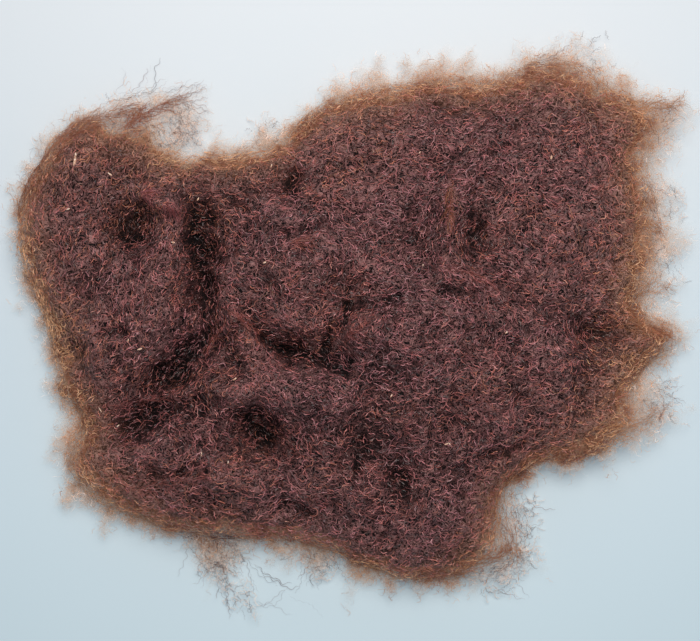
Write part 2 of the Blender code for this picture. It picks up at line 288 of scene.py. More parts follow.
# Bundles of fibres that follow one arc: where each starts, its turn and bend in degrees,
# its length, half its width, how many fibres, how high over the top, and their hue and
# lightness.
Wisp = namedtuple("Wisp", "x y turn length bend spread count lift hue light")
WISPS = [
    Wisp(-97, 37, 72, 50, -75, 1.8, 300, 0.5, 0.55, 0.50),
    Wisp(-66, 58, 58, 24, -50, 1.1, 150, 0.5, 0.50, 0.50),
    Wisp(-61, 39, 10, 9, -70, 1.0, 44, 0.9, 0.15, 0.72),
    Wisp(-52, 37, -62, 11, -40, 1.0, 44, 0.9, 0.15, 0.70),
    Wisp(-44, -8, 60, 15, -20, 0.5, 40, 0.8, 0.30, 0.66),
    Wisp(-35, 5, -30, 17, -35, 0.6, 46, 0.8, 0.30, 0.66),
    Wisp(28, 42, -90, 19, 0, 0.7, 60, 0.8, 0.45, 0.60),
    Wisp(24, 19, -5, 24, -50, 0.8, 50, 0.8, 0.25, 0.60),
    Wisp(-72, -23, 8, 26, 5, 0.6, 36, 0.8, 0.25, 0.62),
    Wisp(-2, -3, 32, 14, 10, 0.8, 40, 0.6, 0.25, 0.60),
    Wisp(-18, 24, 25, 11, -50, 0.6, 36, 0.6, 0.30, 0.62),
    Wisp(-64, -46, 6, 32, 5, 1.0, 50, 0.5, 0.30, 0.55),
    Wisp(80, 64, 6, 26, 14, 1.5, 110, 0.5, 0.70, 0.60),
    Wisp(80, 2, -8, 20, -25, 1.4, 90, 0.5, 0.60, 0.55),
    Wisp(72, -30, 12, 24, 10, 1.3, 90, 0.5, 0.70, 0.58),
    Wisp(82, 12, -2, 20, 16, 1.6, 70, 0.5, 0.75, 0.62),
    Wisp(84, 30, 8, 16, -30, 1.6, 60, 0.5, 0.75, 0.62),
    Wisp(30, -70, 8, 24, 24, 1.2, 90, 0.3, 0.60, 0.50),
    Wisp(44, -48, -80, 26, 14, 1.6, 80, 0.4, 0.65, 0.55),
]

# Single long hairs that stray over the surface.
STRAYS = [
    Wisp(-74, 67, 14, 24, 12, 0.6, 10, 0.0, 0.10, 0.16),
    Wisp(-67, 68.5, 27, 29, -44, 0.4, 9, 0.0, 0.10, 0.12),
    Wisp(-56, 67, 10, 17, 20, 1.2, 14, 0.0, 0.30, 0.25),
    Wisp(-50, -57, -64, 31, 24, 1.8, 36, 0.0, 0.30, 0.22),
    Wisp(-47, -57, -62, 27, 20, 2.4, 60, 0.0, 0.85, 0.50),
    Wisp(-44, -60, -20, 18, -14, 2.2, 30, 0.0, 0.15, 0.14),
    Wisp(-40, -72, -75, 21, 10, 0.9, 7, 0.0, 0.10, 0.14),
    Wisp(-33, -69, -46, 33, 22, 0.5, 7, 0.0, 0.10, 0.12),
    Wisp(-30, -83, -15, 12, 20, 0.5, 3, 0.0, 0.10, 0.12),
    Wisp(-14, -64, -62, 18, -30, 1.8, 9, 0.0, 0.10, 0.14),
    Wisp(-6, -66, -80, 14, 40, 1.8, 7, 0.0, 0.10, 0.14),
    Wisp(40, -74, 8, 20, 20, 2.0, 16, 0.0, 0.20, 0.22),
    Wisp(50, -48, -85, 22, 12, 2.0, 16, 0.0, 0.20, 0.22),
    Wisp(84, 44, -60, 18, 20, 3.0, 20, 0.0, 0.40, 0.30),
    Wisp(88, -20, -30, 14, 30, 3.0, 16, 0.0, 0.40, 0.30),
    Wisp(52, 79, 10, 22, -30, 2.0, 20, 0.0, 0.40, 0.28),
    Wisp(-98, 40, 62, 26, -20, 1.8, 20, 0.0, 0.40, 0.32),
]

# Patches of single crinkled fibres, where the pale card shows through the wool.
Cobweb = namedtuple("Cobweb", "x y reach count")
COBWEBS = [
    Cobweb(-66, 62, 4, 170),
    Cobweb(-52, 60, 3.5, 240),
    Cobweb(-89, 51, 3.5, 120),
    Cobweb(-94, 43, 2.5, 50),
    Cobweb(-77, 60, 3, 40),
    Cobweb(-26, 58, 3, 50),
    Cobweb(-46, -62, 2.5, 70),
    Cobweb(-37, -66, 3, 90),
    Cobweb(-41, -71, 2.5, 50),
    Cobweb(-36, -78, 2.5, 40),
    Cobweb(-32, -82, 2, 20),
    Cobweb(-9, -70, 3, 60),
    Cobweb(-20, -65, 2, 30),
    Cobweb(50, -54, 4, 80),
    Cobweb(50, -66, 4, 100),
    Cobweb(44, -74, 4, 100),
    Cobweb(94, 36, 4, 70),
    Cobweb(93, 20, 4, 60),
    Cobweb(93, -22, 4, 70),
    Cobweb(70, 80, 5, 70),
    Cobweb(94, 62, 3, 50),
    Cobweb(-79, -46, 2.5, 30),
]

# Slivers of straw caught in the wool: a place, the turn in degrees, the length and width.
Fleck = namedtuple("Fleck", "x y turn length width")
FLECKS = [
    Fleck(-83, 50.5, 84, 5.0, 0.75),
    Fleck(-95, 39, 84, 2.2, 0.45),
    Fleck(-72.5, 46.5, -35, 1.4, 0.5),
    Fleck(-46, 39, 60, 1.0, 0.45),
    Fleck(-53.5, 26, -10, 1.1, 0.5),
    Fleck(-26, 20, 30, 1.0, 0.5),
    Fleck(-85, 36, 20, 1.2, 0.4),
    Fleck(-24, 49, 70, 1.0, 0.4),
    Fleck(60, 51.5, 80, 1.1, 0.6),
    Fleck(20.5, 53, 60, 0.7, 0.3),
    Fleck(21.5, 19.2, 85, 0.7, 0.3),
    Fleck(-63.5, -6, 20, 1.4, 0.5),
    Fleck(-67, -3.5, 80, 1.2, 0.35),
    Fleck(-75.5, -24, -55, 2.0, 0.35),
    Fleck(-70, -29, 40, 0.9, 0.35),
    Fleck(-35, -15, 35, 1.2, 0.45),
    Fleck(-45, -37.5, 85, 1.4, 0.3),
    Fleck(-24.5, -24, 15, 1.6, 0.55),
    Fleck(-37, -40, 80, 1.0, 0.35),
    Fleck(28.5, -34.5, 20, 1.2, 0.4),
    Fleck(29.5, -34.5, -50, 1.0, 0.35),
    Fleck(12, -20, 60, 1.0, 0.4),
    Fleck(46.5, -1, 50, 0.9, 0.4),
    Fleck(66, -24, 85, 1.6, 0.5),
]
FLECK_LIFT = 1.2 * MM

# A fibre of each layer: how many points it has and the mm between them, its width in mm,
# the swing of its waves and its chance turns in radians, and the least and most length of
# a wave in mm.
Fibre = namedtuple("Fibre", "points step width crimp wobble least_wave most_wave")
FIBRES = {
    "coat_deep": Fibre(6, 0.5, 0.22, 0.5, 0.22, 1.2, 2.4),
    "coat_middle": Fibre(7, 0.4, 0.16, 0.5, 0.22, 1.2, 2.4),
    "coat_top": Fibre(7, 0.4, 0.12, 0.5, 0.22, 1.2, 2.4),
    "coat_long": Fibre(16, 0.5, 0.09, 0.5, 0.22, 1.2, 2.4),
    "coat_under": Fibre(6, 0.7, 0.2, 0.5, 0.3, 1.2, 2.4),
    "crinkled_hairs": Fibre(22, 0.25, 0.08, 1.1, 0.25, 0.9, 1.7),
    "rim_fleece": Fibre(8, 0.38, 0.13, 0.6, 0.35, 1.2, 2.4),
    "rim_haze": Fibre(8, 0.45, 0.07, 0.6, 0.35, 1.2, 2.4),
    "gathered_wisps": Fibre(14, 0.6, 0.11, 0.45, 0.16, 1.2, 2.4),
    "stray_hairs": Fibre(34, 0.45, 0.08, 0.65, 0.12, 2.0, 4.5),
}

# The layers on top, from the bottom up: how many fibres, the least and most that they lie
# over the wool's top, how light they are, and how much of a crease's painted shade they take.
Coat = namedtuple("Coat", "name count least most light shaded")
COATS = [
    Coat("coat_deep", 6000, -0.7, 0.1, 0.16, 1.0),
    Coat("coat_middle", 14000, -0.3, 0.5, 0.30, 0.9),
    Coat("coat_top", 15000, 0.1, 1.0, 0.48, 0.7),
    Coat("coat_long", 2800, 0.2, 1.0, 0.42, 0.6),
]

# The loose layers of the rim: how many fibres, how far past the haze's edge they start,
# and how light they are.
Rim = namedtuple("Rim", "name count outside light")
RIMS = [
    Rim("rim_fleece", 9500, 0.0, 0.58),
    Rim("rim_haze", 9000, 2.0, 0.56),
]

# How many fibres lie pressed flat underneath.
UNDER_COUNT = 3000

# One soft lamp, nearly overhead and a little to the far side.
LAMP_PLACE = (0.02, 0.12, 0.42)
LAMP_SIZE = 0.3
LAMP_ENERGY = 1.55


def grown(mask, reach):
    """The mask with a border of that many cells added."""
    out = mask.copy()
    for i in range(-reach, reach + 1):
        for j in range(-reach, reach + 1):
            if i * i + j * j <= reach * reach:
                out |= np.roll(mask, (i, j), (0, 1))
    return out


BESIDE = ((0, 1), (0, -1), (1, 0), (-1, 0))
SPREAD_CELLS = 40
FAR_HEIGHT = 3 * MM


def soft(field, passes):
    """The field with each cell evened out with its neighbours."""
    for _ in range(passes):
        around = sum(np.roll(field, shift, (0, 1)) for shift in BESIDE)
        field = (field * 4 + around) / 8
    return field


def spread(field):
    """The field with its empty cells filled from those beside them."""
    for _ in range(SPREAD_CELLS):
        known = ~np.isnan(field)
        total = np.zeros(field.shape)
        count = np.zeros(field.shape)
        for shift in BESIDE:
            total += np.roll(np.where(known, field, 0), shift, (0, 1))
            count += np.roll(known, shift, (0, 1))
        filled = np.where(count > 0, total / np.maximum(count, 1), np.nan)
        field = np.where(known, field, filled)
    return np.where(np.isnan(field), FAR_HEIGHT, field)


def ease(value):
    """0 to 1 with soft ends."""
    value = np.clip(value, 0, 1)
    return value * value * (3 - 2 * value)


def wander(x, y, pitch, seed):
    """A smooth random number from -1 to 1 for each place, changing over pitch."""
    turns = np.random.default_rng(seed)
    total = np.zeros(np.shape(x))
    for _ in range(9):
        turn = turns.uniform(0, FULL_TURN)
        size = FULL_TURN / (pitch * turns.uniform(0.8, 1.9))
        along = (x * math.cos(turn) + y * math.sin(turn)) * size
        total += np.sin(along + turns.uniform(0, FULL_TURN))
    return np.clip(total / 3.6, -1, 1)


def uneven(rows, x, y):
    """The rises and falls of the rows at each place."""
    return sum(row.rise * MM * wander(x, y, row.pitch * MM, row.seed) for row in rows)


def near(row, x, y):
    """How much a table row counts at each place, from 1 at its own to 0 far away."""
    return np.exp(-((x / MM - row.x) ** 2 + (y / MM - row.y) ** 2) / row.reach**2)


def as_seen(x, y, height):
    """Where the lens sees a place of that height. What is nearer to it is seen further
    out, and the tables give the places as they are seen."""
    nearer = (height - FIBRE_HEIGHT) / (CAMERA_HEIGHT - height)
    return x + (x - PHOTO_MIDDLE[0]) * nearer, y + (y - PHOTO_MIDDLE[1]) * nearer


def really_at(x, y, height):
    """The place of that height that the lens sees there, the reverse of as_seen."""
    nearer = (height - FIBRE_HEIGHT) / (CAMERA_HEIGHT - FIBRE_HEIGHT)
    return x + (PHOTO_MIDDLE[0] - x) * nearer, y + (PHOTO_MIDDLE[1] - y) * nearer


def fold_rise(x, y):
    """How far the folds raise or sink the wool at each place."""
    bent_x = x + uneven(FOLDS_EAST, x, y)
    bent_y = y + uneven(FOLDS_NORTH, x, y)
    rise = np.zeros(np.shape(x))
    for fold in FOLDS:
        run = np.array([fold.end_x - fold.x, fold.end_y - fold.y]) * MM
        from_x, from_y = bent_x - fold.x * MM, bent_y - fold.y * MM
        share = np.clip((from_x * run[0] + from_y * run[1]) / (run @ run), 0, 1)
        away = np.hypot(from_x - share * run[0], from_y - share * run[1])
        rise += fold.rise * MM * np.exp(-((away / (fold.width * MM)) ** 3))
    return rise


class Lie:
    """The wool's top, underside and depth in from its rim, on an even grid."""

    def __init__(self, node):
        low, high = (np.array(corner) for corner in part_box(node))
        self.low = low[:2] - FIELD_MARGIN
        width = high[:2] + FIELD_MARGIN - self.low
        self.shape = tuple(np.ceil(width / FIELD_STEP).astype(int) + 1)
        top, under = self.measured(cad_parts[node].data)
        # Opened by a lock's half width, the outline keeps the body and drops the locks.
        body = grown(~grown(np.isnan(top), LOCK_HALF_WIDTH), LOCK_HALF_WIDTH)
        self.depth = self.depth_inside(body)
        # Closed by the same, it fills the gaps between the locks.
        filled = ~grown(~grown(~np.isnan(top), LOCK_HALF_WIDTH), LOCK_HALF_WIDTH)
        self.reach = self.depth_inside(filled)
        top = spread(np.where(body, top, np.nan))
        self.under = soft(spread(np.where(body, under, np.nan)), 2)
        cells = (self.low[k] + np.arange(self.shape[k]) * FIELD_STEP for k in (0, 1))
        x, y = np.meshgrid(*cells, indexing="ij")
        inside = ease(self.depth / RELIEF_FADE)
        raised = (1 + RELIEF_GAIN) * soft(top, 1) - RELIEF_GAIN * soft(top, 120)
        seen = as_seen(x, y, raised)
        raised += inside * (fold_rise(*seen) + uneven(CLUMPS, x, y))
        self.top = np.clip(raised, self.under + LEAST_THICK, high[2] + MOST_RISE)
        self.bridge = np.maximum(self.top, soft(self.top, 40))
        self.slope = np.stack(np.gradient(self.top, FIELD_STEP), -1)
        self.inward = np.stack(np.gradient(soft(self.depth, 8), FIELD_STEP), -1)
        # Painted shade: the wool is darker where it lies below its surroundings, and the tones add
        # painted shade and painted light.
        sunk = (row.darker * (soft(self.top, row.passes) - self.top) for row in HOLLOWS)
        shade = 1 - sum(sunk) / MM
        self.hue = np.zeros(self.shape)
        for tone in TONES:
            shade += tone.light * near(tone, *seen)
            self.hue += tone.hue * near(tone, *seen)
        self.shade = np.clip(shade, DARKEST, LIGHTEST)

    def measured(self, mesh):
        """The heights of the solid's top and underside, empty where there is none."""
        corners = [point.co for point in mesh.vertices]
        tree = BVHTree.FromPolygons(corners, [face.vertices for face in mesh.polygons])
        top = np.full(self.shape, np.nan)
        under = np.full(self.shape, np.nan)
        for i, j in np.ndindex(self.shape):
            x, y = self.low + (i * FIELD_STEP, j * FIELD_STEP)
            hit = tree.ray_cast(Vector((x, y, 1)), Vector((0, 0, -1)))[0]
            if hit:
                top[i, j] = hit.z
                under[i, j] = tree.ray_cast(Vector((x, y, -1)), Vector((0, 0, 1)))[0].z
        return top, under

    def depth_inside(self, body):
        """How far each cell is inside the rim. It is negative outside."""
        edge = body & grown(~body, 1)
        tree = KDTree(int(edge.sum()))
        for k, (i, j) in enumerate(np.argwhere(edge)):
            tree.insert((i, j, 0), k)
        tree.balance()
        gaps = np.array([tree.find((i, j, 0))[2] for i, j in np.ndindex(self.shape)])
        return np.where(body, 1, -1) * gaps.reshape(self.shape) * FIELD_STEP

    def at(self, field, x, y):
        """The field's values at places, between its cells."""
        i = np.clip((x - self.low[0]) / FIELD_STEP, 0, self.shape[0] - 1.001)
        j = np.clip((y - self.low[1]) / FIELD_STEP, 0, self.shape[1] - 1.001)
        a, b = i.astype(int), j.astype(int)
        u, v = i - a, j - b
        if field.ndim == 3:
            u, v = u[..., None], v[..., None]
        low = field[a, b] * (1 - u) + field[a + 1, b] * u
        return low * (1 - v) + (field[a, b + 1] * (1 - u) + field[a + 1, b + 1] * u) * v

    def rim_width(self, x, y):
        """How wide the thin rim is between the outline and the dense wool."""
        thin = np.zeros(np.shape(x))
        for row in THIN:
            thin = np.maximum(thin, row.loss * MM * near(row, x, y))
        return CORE_INSET + uneven(RIM_STRAYS, x, y) + thin

    def dense_depth(self, x, y):
        """How far a place is inside the dense wool's own rim."""
        return self.at(self.depth, x, y) - self.rim_width(x, y)

    def haze_depth(self, x, y):
        """How far a place is inside the ragged outline of the haze."""
        gain = np.full(np.shape(x), HAZE_REACH)
        for row in THIN:
            gain = np.maximum(gain, row.gain * MM * near(row, x, y))
        return self.at(self.reach, x, y) + gain + uneven(HAZE_STRAYS, x, y)

    def haze_left(self, x, y):
        """The share of the haze that is left at each place."""
        left = np.ones(np.shape(x))
        for row in THIN:
            left = np.minimum(left, 1 - (1 - row.left) * near(row, x, y))
        return left

    def painted_rim_glow(self, x, y):
        """Painted light: how much the dense wool takes the rim's brown and gold, for the light
        through the thin wool. It fades in from the rim, and further in where the rim is wide."""
        wide = np.zeros(np.shape(x))
        for row in THIN:
            reach = max(row.loss, row.brown) * MM
            wide = np.maximum(wide, reach * near(row, x, y) ** 0.25)
        return np.exp(-np.maximum(self.dense_depth(x, y), 0) / (PAINTED_GLOW_REACH + wide))


def linear(hex_colour):
    """An sRGB hex colour as the linear numbers that Blender takes."""
    parts = [int(hex_colour[k : k + 2], 16) / 255 for k in (1, 3, 5)]
    lit = [c / 12.92 if c <= 0.04045 else ((c + 0.055) / 1.055) ** 2.4 for c in parts]
    return (*lit, 1.0)


def add(tree, kind, links=(), stops=(), **settings):
    """A node with its settings, its inputs' values or links, and a ramp's colours."""
    node = tree.nodes.new("ShaderNode" + kind)
    for name, value in settings.items():
        setattr(node, name, value)
    for key, value in links:
        if isinstance(value, bpy.types.Node):
            value = value.outputs[0]
        if isinstance(value, bpy.types.NodeSocket):
            tree.links.new(value, node.inputs[key])
        else:
            node.inputs[key].default_value = value
    for _ in stops[2:]:
        node.color_ramp.elements.new(0.5)
    for k, (place, hex_colour) in enumerate(stops):
        node.color_ramp.elements[k].position = place
        node.color_ramp.elements[k].color = linear(hex_colour)
    return node


def new_material(name):
    """A named material with an empty node tree."""
    material = bpy.data.materials.new(name)
    material.use_nodes = True
    material.node_tree.nodes.clear()
    return material, material.node_tree


def winding_lines(tree, place, scale, sharpness):
    """A felt of curly lines. Where a noise passes through its middle value it draws a
    thin winding line, and the colour noise gives three such noises at once. A line is
    narrower where sharpness is larger."""
    waves = add(
        tree,
        "TexNoise",
        [("Vector", place), ("Scale", scale), ("Detail", 1.0), ("Distortion", 1.2)],
    )
    channels = add(tree, "SeparateColor", [(0, waves.outputs["Color"])])
    felt = None
    for channel in channels.outputs:
        off = add(tree, "Math", [(0, channel), (1, 0.5)], operation="SUBTRACT")
        away = add(tree, "Math", [(0, off)], operation="ABSOLUTE")
        line = add(
            tree,
            "Math",
            [(0, away), (1, -sharpness), (2, 1.0)],
            operation="MULTIPLY_ADD",
            use_clamp=True,
        )
        if felt is None:
            felt = line
        else:
            felt = add(tree, "Math", [(0, felt), (1, line)], operation="MAXIMUM")
    return felt


# Wool fibre is keratin with fine scales. A loose fibre has a soft sheen, and matted or
# webbed fibre scatters nearly all of its light.
WOOL_IOR = 1.55
FIBRE_ROUGHNESS = 0.45
MAT_ROUGHNESS = 0.9

# Noise cells to a metre: 1.9 mm for the felt's waves and 1.25 mm for the web's, 6 mm for
# the clumps of the felt and 4 mm for the clouds of the web, 0.4 mm for the strings of
# straw and 80 mm for the mottle of the card.
FELT_SCALE = 520.0
WEB_SCALE = 800.0
CLUMP_SCALE = 160.0
CLOUD_SCALE = 240.0
STRAW_SCALE = 2500.0
MOTTLE_SCALE = 12.0

# Purplish maroon on top of the mat, reddish brown round it, straw-gold where it is thin,
# the brown and gold painted light for the light through the thin wool, and near white at
# the end for fibres painted as lit from behind by the card.
FIBRE_HUES = [
    (0.00, "#9c646a"),
    (0.25, "#a25c56"),
    (0.50, "#a96a4e"),
    (0.75, "#be8f66"),
    (1.00, "#f0e2da"),
]


def fibre_material(name, see_through):
    """Loose wool fibre. On its map, the first number is the fibre's hue and the second
    how light it is. The lightness holds each fibre's own tone, painted shade for the wool
    down in the creases, and painted light for highlights and for the golden fibres of the
    thin rim; it also rises a little towards each fibre's tip."""
    material, tree = new_material(name)
    place = add(tree, "UVMap", uv_map="OFBake")
    split = add(tree, "SeparateXYZ", [(0, place)])
    hue = add(tree, "ValToRGB", [("Fac", split.outputs["X"])], FIBRE_HUES)
    light = add(
        tree,
        "MapRange",
        [("Value", split.outputs["Y"]), ("To Min", 0.02), ("To Max", 2.0)],
    )
    colour = add(tree, "VectorMath", [(0, hue), ("Scale", light)], operation="SCALE")
    body = add(
        tree,
        "BsdfPrincipled",
        [
            ("Base Color", colour),
            ("Roughness", FIBRE_ROUGHNESS),
            ("IOR", WOOL_IOR),
            ("Specular IOR Level", 0.8),
        ],
    )
    through = add(tree, "BsdfTranslucent", [("Color", colour)])
    both = add(tree, "MixShader", [("Fac", see_through), (1, body), (2, through)])
    add(tree, "OutputMaterial", [("Surface", both)])
    return material


def core_material():
    """Matted wool under the loose fibres: a felt of curly fibres about 0.25 mm wide over
    dark gaps, several times coarser than real ones so that they show. The dark gaps are
    painted shade between the fibres. Painted shade makes it darker down in the creases,
    and painted light makes it browner and lighter towards the thin rim, for the light
    through the thin wool."""
    material, tree = new_material("matted brown wool")
    place = add(tree, "TexCoord").outputs["Object"]
    felt = winding_lines(tree, place, FELT_SCALE, 14.0)
    clumps = add(tree, "TexNoise", [("Vector", place), ("Scale", CLUMP_SCALE), ("Detail", 4.0)])
    patchy = add(tree, "MapRange", [("Value", clumps), ("To Min", 0.45), ("To Max", 1.5)])
    # Painted shade: the shade attribute darkens the felt down in the creases.
    shade = add(tree, "Attribute", attribute_name="shade").outputs["Fac"]
    lit = add(tree, "Math", [(0, felt), (1, patchy)], operation="MULTIPLY")
    lit = add(tree, "Math", [(0, lit), (1, shade)], operation="MULTIPLY")
    matted = add(
        tree,
        "ValToRGB",
        [("Fac", lit)],
        [(0.14, "#0d0506"), (0.40, "#2f1a1b"), (0.70, "#6f4746"), (1.00, "#9c706d")],
    )
    # Painted light: the thin attribute turns the felt brown, gold and lighter towards the thin rim,
    # for the light through the thin wool.
    thin = add(tree, "Attribute", attribute_name="thin").outputs["Fac"]
    brown = add(
        tree,
        "ValToRGB",
        [("Fac", lit)],
        [(0.05, "#75503f"), (0.35, "#a0705a"), (0.90, "#c99a7e")],
    )
    colour = add(
        tree,
        "Mix",
        [("Factor", thin), (6, matted), (7, brown)],
        data_type="RGBA",
    ).outputs[2]
    bump = add(tree, "Bump", [("Height", felt), ("Strength", 0.8), ("Distance", 0.35 * MM)])
    body = add(
        tree,
        "BsdfPrincipled",
        [
            ("Base Color", colour),
            ("Roughness", MAT_ROUGHNESS),
            ("IOR", WOOL_IOR),
            ("Specular IOR Level", 0.2),
            ("Normal", bump),
        ],
    )
    add(tree, "OutputMaterial", [("Surface", body)])
    return material


def veil_material():
    """The finest fibres of the rim, each far thinner than the render can show, as a web
    of lines about 0.2 mm wide with gaps. It lets the card show through, and its colour is
    also painted paler, from reddish brown to gold and near white, as it thins out: painted
    light for the light through the thin web."""
    material, tree = new_material("thin web of wool")
    place = add(tree, "TexCoord").outputs["Object"]
    cover = add(tree, "Attribute", attribute_name="cover").outputs["Fac"]
    web = winding_lines(tree, place, WEB_SCALE, 13.0)
    clouds = add(tree, "TexNoise", [("Vector", place), ("Scale", CLOUD_SCALE), ("Detail", 5.0)])
    ragged = add(
        tree,
        "MapRange",
        [("Value", clouds), ("From Min", 0.3), ("From Max", 0.7), ("To Min", 0.4), ("To Max", 1.5)],
    )
    fill = add(tree, "Math", [(0, cover), (1, ragged)], operation="MULTIPLY", use_clamp=True)
    part = add(tree, "Math", [(0, web), (1, 0.95), (2, 0.12)], operation="MULTIPLY_ADD")
    alpha = add(tree, "Math", [(0, fill), (1, part)], operation="MULTIPLY", use_clamp=True)
    # Painted light: the colour pales from reddish brown to near white as the web thins.
    colour = add(
        tree,
        "ValToRGB",
        [("Fac", fill)],
        [(0.05, "#f0e2d4"), (0.45, "#dcb698"), (0.8, "#b98768"), (1.0, "#9a674f")],
    )
    body = add(
        tree,
        "BsdfPrincipled",
        [
            ("Base Color", colour),
            ("Roughness", MAT_ROUGHNESS),
            ("IOR", WOOL_IOR),
            ("Specular IOR Level", 0.1),
            ("Alpha", alpha),
        ],
    )
    add(tree, "OutputMaterial", [("Surface", body)])
    return material


def straw_material():
    """Dry straw: pale, stringy and a little waxy, so it glints against the wool."""
    material, tree = new_material("dry straw")
    place = add(tree, "TexCoord").outputs["Object"]
    strings = add(tree, "TexNoise", [("Vector", place), ("Scale", STRAW_SCALE), ("Detail", 2.0)])
    colour = add(
        tree,
        "ValToRGB",
        [("Fac", strings)],
        [(0.3, "#bd8566"), (0.5, "#e3b495"), (0.7, "#f8e6d8")],
    )
    body = add(tree, "BsdfPrincipled", [("Base Color", colour), ("Roughness", 0.4)])
    add(tree, "OutputMaterial", [("Surface", body)])
    return material


def card_material():
    """The pale matt card the tuft lies on. It is painted whiter towards +Y and darker and
    bluer towards -Y, a painted fall-off of the lamp's light, with a faint mottle."""
    material, tree = new_material("pale matt card")
    place = add(tree, "TexCoord").outputs["Object"]
    height = add(tree, "SeparateXYZ", [(0, place)]).outputs["Y"]
    mottle = add(tree, "TexNoise", [("Vector", place), ("Scale", MOTTLE_SCALE), ("Detail", 3.0)])
    shifted = add(tree, "Math", [(0, mottle), (1, 20 * MM), (2, height)], operation="MULTIPLY_ADD")
    # Painted light: the card is lighter towards +Y, where the lamp is nearer.
    share = add(
        tree,
        "MapRange",
        [("Value", shifted), ("From Min", -90 * MM), ("From Max", 110 * MM)],
    )
    colour = add(
        tree,
        "ValToRGB",
        [("Fac", share)],
        [(0.0, "#d7e9f0"), (0.5, "#d9e7ef"), (1.0, "#e8edf1")],
    )
    body = add(tree, "BsdfPrincipled", [("Base Color", colour), ("Roughness", 0.8)])
    add(tree, "OutputMaterial", [("Surface", body)])
    return material


def alone(obj):
    """Selects one object and nothing else."""
    bpy.ops.object.select_all(action="DESELECT")
    obj.select_set(True)
    bpy.context.view_layer.objects.active = obj


def cut_grid(name, lie, step, keep):
    """A flat grid over the tuft with the faces kept where keep(x, y) is true."""
    width, length = (n * FIELD_STEP for n in lie.shape)
    bpy.ops.mesh.primitive_grid_add(
        x_subdivisions=round(width / step),
        y_subdivisions=round(length / step),
        size=1.0,
        location=(lie.low[0] + width / 2, lie.low[1] + length / 2, 0),
    )
    grid = bpy.context.object
    grid.name = name
    grid.scale = (width, length, 1)
    alone(grid)
    bpy.ops.object.transform_apply(location=True, rotation=True, scale=True)
    bpy.ops.object.mode_set(mode="EDIT")
    bpy.ops.mesh.select_mode(type="FACE")
    bpy.ops.mesh.select_all(action="DESELECT")
    bpy.ops.object.mode_set(mode="OBJECT")
    middles = np.empty(len(grid.data.polygons) * 3)
    grid.data.polygons.foreach_get("center", middles)
    x, y, _ = middles.reshape(-1, 3).T
    grid.data.polygons.foreach_set("select", ~keep(x, y))
    bpy.ops.object.mode_set(mode="EDIT")
    bpy.ops.mesh.delete(type="FACE")
    bpy.ops.object.mode_set(mode="OBJECT")
    return grid


def places_of(obj):
    """A mesh's points as arrays of x, y and z."""
    places = np.empty(len(obj.data.vertices) * 3)
    obj.data.vertices.foreach_get("co", places)
    return places.reshape(-1, 3).T


def set_number(obj, name, values):
    """Gives each of a mesh's points a number that its material reads."""
    numbers = obj.data.attributes.new(name, "FLOAT", "POINT")
    numbers.data.foreach_set("value", np.asarray(values, np.float32))


def build_core(lie):
    """A fine grid cut to the dense wool's outline, thickened, and laid on the wool's top
    and underside. It thins towards its own rim."""
    core = cut_grid("fleece_core", lie, CORE_STEP, lambda x, y: lie.dense_depth(x, y) > 0)
    alone(core)
    bpy.ops.object.mode_set(mode="EDIT")
    bpy.ops.mesh.select_all(action="SELECT")
    bpy.ops.mesh.extrude_region_move(TRANSFORM_OT_translate={"value": (0, 0, -1)})
    bpy.ops.mesh.select_all(action="SELECT")
    bpy.ops.mesh.normals_make_consistent(inside=False)
    bpy.ops.object.mode_set(mode="OBJECT")
    x, y, z = places_of(core)
    top = lie.at(lie.top, x, y) - CORE_DROP
    under = lie.at(lie.under, x, y) + CORE_LIFT
    filled = ease((lie.dense_depth(x, y) + 1 * MM) / CORE_TAPER)
    middle = under + (top - under) * 0.35
    # Bumps about 3 mm apart and up to 0.8 mm high
    bumps = [noise.noise(Vector((*place, 0)) * 330) for place in zip(x, y)]
    rough = np.array(bumps) * 0.8 * MM
    raised = middle + (top - middle + rough) * filled + CORE_EDGE / 2
    sunk = middle + (under - middle) * filled - CORE_EDGE / 2
    z = np.where(z > -0.5, raised, sunk)
    core.data.vertices.foreach_set("co", np.stack([x, y, z], 1).ravel())
    smooth = core.modifiers.new("soft", "SMOOTH")
    smooth.factor = 0.5
    smooth.iterations = 1
    alone(core)
    bpy.ops.object.modifier_apply(modifier="soft")
    bpy.ops.object.shade_smooth()
    x, y, _ = places_of(core)
    # Painted shade for the creases and painted light for the thin rim, read by the material.
    set_number(core, "shade", lie.at(lie.shade, x, y))
    set_number(core, "thin", lie.painted_rim_glow(x, y))
    core.data.materials.append(core_material())
    return core


def veil(lie, name, level, material):
    """A layer of the rim's finest fibres, at that share of the wool's thickness. Its
    cover falls to nothing at the outline."""

    def in_rim(x, y):
        return (lie.haze_depth(x, y) > -WEB_PAST) & (lie.dense_depth(x, y) < WEB_INTO)

    web = cut_grid(name, lie, WEB_STEP, in_rim)
    x, y, _ = places_of(web)
    under, top = lie.at(lie.under, x, y), lie.at(lie.top, x, y)
    height = under + (top - under) * level + uneven(WEB_WAVES, x, y)
    height = np.maximum(height, (0.4 + level) * MM)
    web.data.vertices.foreach_set("co", np.stack([x, y, height], 1).ravel())
    bpy.ops.object.shade_smooth()
    outer = lie.haze_depth(x, y)
    width = np.maximum(outer - lie.dense_depth(x, y), 1 * MM)
    set_number(web, "cover", np.clip(outer / width, 0, 1) * lie.haze_left(x, y))
    place = np.stack([x - lie.low[0], y - lie.low[1]], 1) / (max(lie.shape) * FIELD_STEP)
    corners = np.empty(len(web.data.loops), np.int32)
    web.data.loops.foreach_get("vertex_index", corners)
    while web.data.uv_layers:
        web.data.uv_layers.remove(web.data.uv_layers[0])
    flat = web.data.uv_layers.new(name="OFBake")
    flat.uv.foreach_set("vector", place[corners].astype(np.float32).ravel())
    web.data.materials.append(material)
    return web


